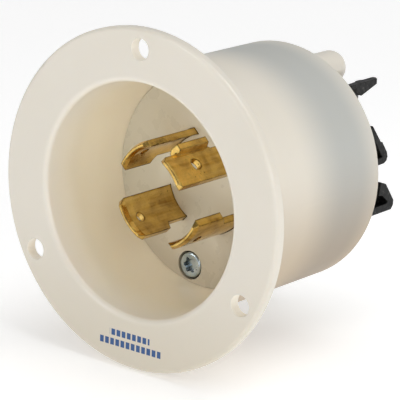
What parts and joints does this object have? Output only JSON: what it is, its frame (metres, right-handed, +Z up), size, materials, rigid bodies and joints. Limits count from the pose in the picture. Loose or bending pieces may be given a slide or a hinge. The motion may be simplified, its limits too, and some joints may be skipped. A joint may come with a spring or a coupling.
{
  "type": "flanged power inlet",
  "caption": "Round panel-mount power inlet with a flange, a recessed cup, curved locking blades and lever-operated wire terminals.",
  "frame": {"origin": "centre of the flange's rear (mounting) face, on the axis of the barrel", "axes": "+Y along the barrel into the panel, +Z up through the top mounting hole, +X right as seen from the front"},
  "size_m": [0.0794, 0.0732, 0.0794],
  "materials": {
    "white_nylon": "satin moulded nylon",
    "carrier_nylon": "satin moulded nylon",
    "black_nylon": "fine textured",
    "brass": "stamped, lightly scratched",
    "spring_steel": "bright",
    "zinc_steel": "zinc plated"
  },
  "bodies": {
    "root": {"casing": "white_nylon", "blade_carrier": "carrier_nylon", "blade_retainer": "white_nylon", "terminal_housing": "white_nylon", "rear_cover": "white_nylon", "carrier_screws": "zinc_steel", "cover_screws": "zinc_steel", "ground_blade": "brass", "line_blade_x": "brass", "terminal_strap_x": "brass", "lever_pin_x": "zinc_steel", "line_blade_y": "brass", "terminal_strap_y": "brass", "lever_pin_y": "zinc_steel", "line_blade_z": "brass", "terminal_strap_z": "brass", "lever_pin_z": "zinc_steel", "terminal_strap_ground": "brass", "lever_pin_ground": "zinc_steel"},
    "lever_x": {"lever_x": "black_nylon"},
    "clamp_leaf_x": {"clamp_leaf_x": "spring_steel"},
    "lever_y": {"lever_y": "black_nylon"},
    "clamp_leaf_y": {"clamp_leaf_y": "spring_steel"},
    "lever_z": {"lever_z": "black_nylon"},
    "clamp_leaf_z": {"clamp_leaf_z": "spring_steel"},
    "lever_ground": {"lever_ground": "black_nylon"},
    "clamp_leaf_ground": {"clamp_leaf_ground": "spring_steel"}
  },
  "joints": [
    {"name": "lever_x_hinge", "type": "hinge", "parent": "root", "child": "lever_x", "pos_m": [0.0135, 0.0636, 0.0069], "axis": [1, 0, 0], "range_deg": [0, 50]},
    {"name": "clamp_leaf_x_bend", "type": "hinge", "parent": "root", "child": "clamp_leaf_x", "pos_m": [0.01075, 0.0429, -0.0003], "axis": [-1, 0, 0], "range_deg": [0, 12]},
    {"name": "lever_y_hinge", "type": "hinge", "parent": "root", "child": "lever_y", "pos_m": [-0.0074, 0.0647, -0.0135], "axis": [0, 0, -1], "range_deg": [0, 50]},
    {"name": "clamp_leaf_y_bend", "type": "hinge", "parent": "root", "child": "clamp_leaf_y", "pos_m": [-0.011, 0.0429, -0.01075], "axis": [0, 0, 1], "range_deg": [0, 12]},
    {"name": "lever_z_hinge", "type": "hinge", "parent": "root", "child": "lever_z", "pos_m": [0.0135, 0.0647, -0.0056], "axis": [1, 0, 0], "range_deg": [0, 50]},
    {"name": "clamp_leaf_z_bend", "type": "hinge", "parent": "root", "child": "clamp_leaf_z", "pos_m": [0.01075, 0.0429, -0.0092], "axis": [-1, 0, 0], "range_deg": [0, 12]},
    {"name": "lever_ground_hinge", "type": "hinge", "parent": "root", "child": "lever_ground", "pos_m": [0.0074, 0.0647, 0.0135], "axis": [0, 0, 1], "range_deg": [0, 50]},
    {"name": "clamp_leaf_ground_bend", "type": "hinge", "parent": "root", "child": "clamp_leaf_ground", "pos_m": [0.011, 0.0429, 0.01075], "axis": [0, 0, -1], "range_deg": [0, 12]}
  ],
  "couplings": [
    {"joint": "clamp_leaf_x_bend", "follows": "lever_x_hinge", "ratio": 0.24},
    {"joint": "clamp_leaf_y_bend", "follows": "lever_y_hinge", "ratio": 0.24},
    {"joint": "clamp_leaf_z_bend", "follows": "lever_z_hinge", "ratio": 0.24},
    {"joint": "clamp_leaf_ground_bend", "follows": "lever_ground_hinge", "ratio": 0.24}
  ]
}
